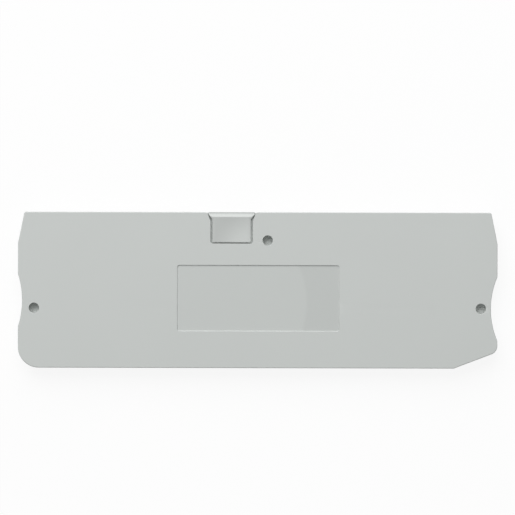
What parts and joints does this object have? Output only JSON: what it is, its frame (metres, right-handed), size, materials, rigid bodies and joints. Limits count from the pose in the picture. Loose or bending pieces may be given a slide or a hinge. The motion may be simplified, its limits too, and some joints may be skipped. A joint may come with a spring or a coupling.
{
  "type": "terminal block end cover",
  "caption": "Flat moulded end cover that closes a row of rail-mounted terminal blocks, with pegs behind it, a recessed label field and a knock-out panel.",
  "frame": {"origin": "under the middle of the plate, on the surface that the peg tips stand on", "axes": "+X along the length, towards the end whose foot corner is cut off at a slant; +Y from the foot to the edge with the knock-out; +Z out of the front face"},
  "size_m": [0.087, 0.0284, 0.0037],
  "materials": {
    "housing_plastic": "fine satin moulded face, light grey polyamide"
  },
  "bodies": {
    "root": {"end_cover": "housing_plastic"}
  },
  "joints": []
}
